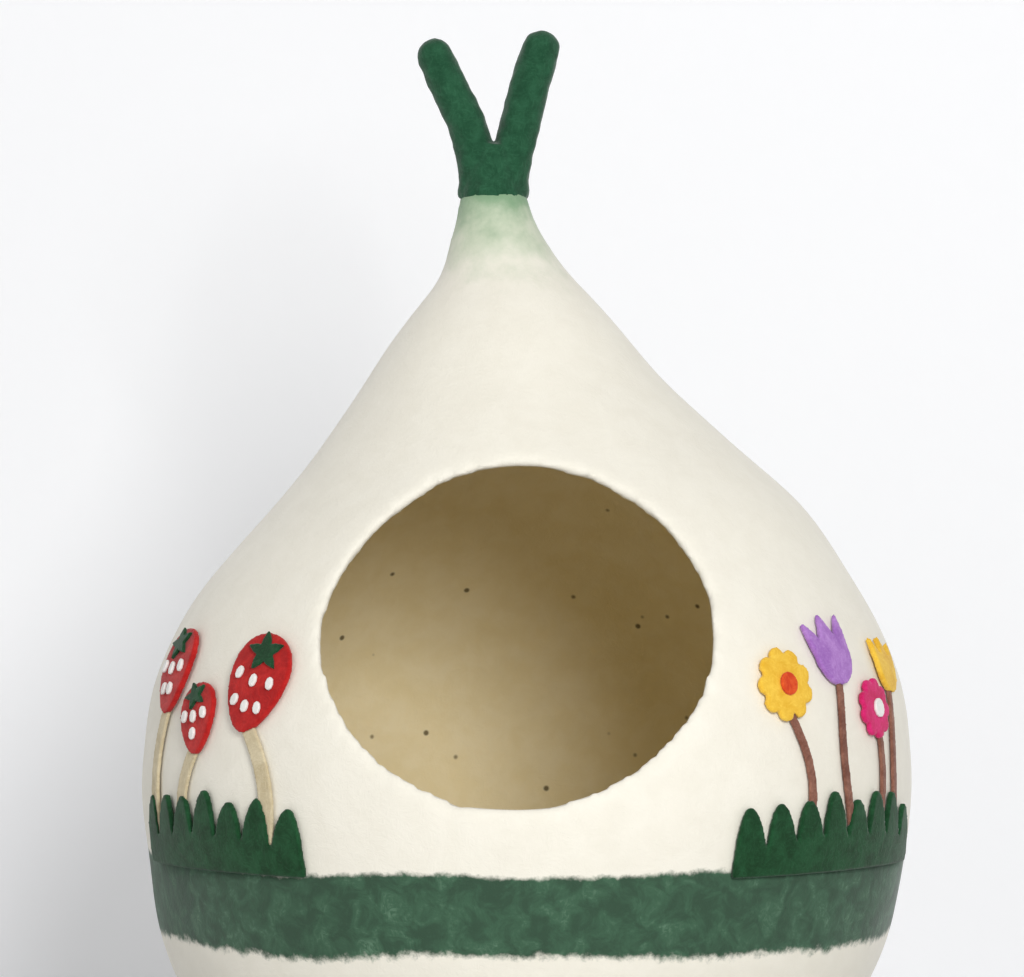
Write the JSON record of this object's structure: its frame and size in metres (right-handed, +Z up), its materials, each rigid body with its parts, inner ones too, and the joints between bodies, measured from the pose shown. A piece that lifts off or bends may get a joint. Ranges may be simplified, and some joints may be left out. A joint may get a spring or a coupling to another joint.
{
  "type": "felt cat cave",
  "caption": "Hollow one-piece felt bulb that a cat climbs into through a round way in at the front, with a forked sprout on its neck and flat felt trim.",
  "frame": {"origin": "middle of the flat base, on the surface it stands on", "axes": "+Z up, -Y the front with the way in, +X the viewer's right as seen from the front"},
  "size_m": [0.448, 0.4479, 0.6241],
  "materials": {
    "cream_felt": "matt wet-felted wool, cream, with a mottled green band felted in low on the outside, pale green at the neck and tan wool inside",
    "sprout_felt": "matt wool felt",
    "leaf_felt": "matt wool felt",
    "red_felt": "matt wool felt",
    "pale_felt": "matt wool felt",
    "brown_felt": "matt wool felt",
    "white_felt": "matt wool felt",
    "violet_felt": "matt wool felt",
    "yellow_felt": "matt wool felt",
    "magenta_felt": "matt wool felt",
    "orange_felt": "matt wool felt"
  },
  "bodies": {
    "root": {"felt_body": "cream_felt", "sprout": "sprout_felt", "leaves_left": "leaf_felt", "leaves_right": "leaf_felt", "berry_1": "red_felt", "berry_2": "red_felt", "berry_3": "red_felt", "sepals_1": "leaf_felt", "sepals_2": "leaf_felt", "sepals_3": "leaf_felt", "seed_01": "white_felt", "seed_02": "white_felt", "seed_03": "white_felt", "seed_04": "white_felt", "seed_05": "white_felt", "seed_06": "white_felt", "seed_07": "white_felt", "seed_08": "white_felt", "seed_09": "white_felt", "seed_10": "white_felt", "seed_11": "white_felt", "seed_12": "white_felt", "seed_13": "white_felt", "seed_14": "white_felt", "seed_15": "white_felt", "pale_stem_1": "pale_felt", "pale_stem_2": "pale_felt", "pale_stem_3": "pale_felt", "daisy_1": "yellow_felt", "tulip_2": "violet_felt", "daisy_3": "magenta_felt", "tulip_4": "yellow_felt", "daisy_centre_1": "orange_felt", "daisy_centre_3": "white_felt", "brown_stem_1": "brown_felt", "brown_stem_2": "brown_felt", "brown_stem_3": "brown_felt", "brown_stem_4": "brown_felt"}
  },
  "joints": []
}
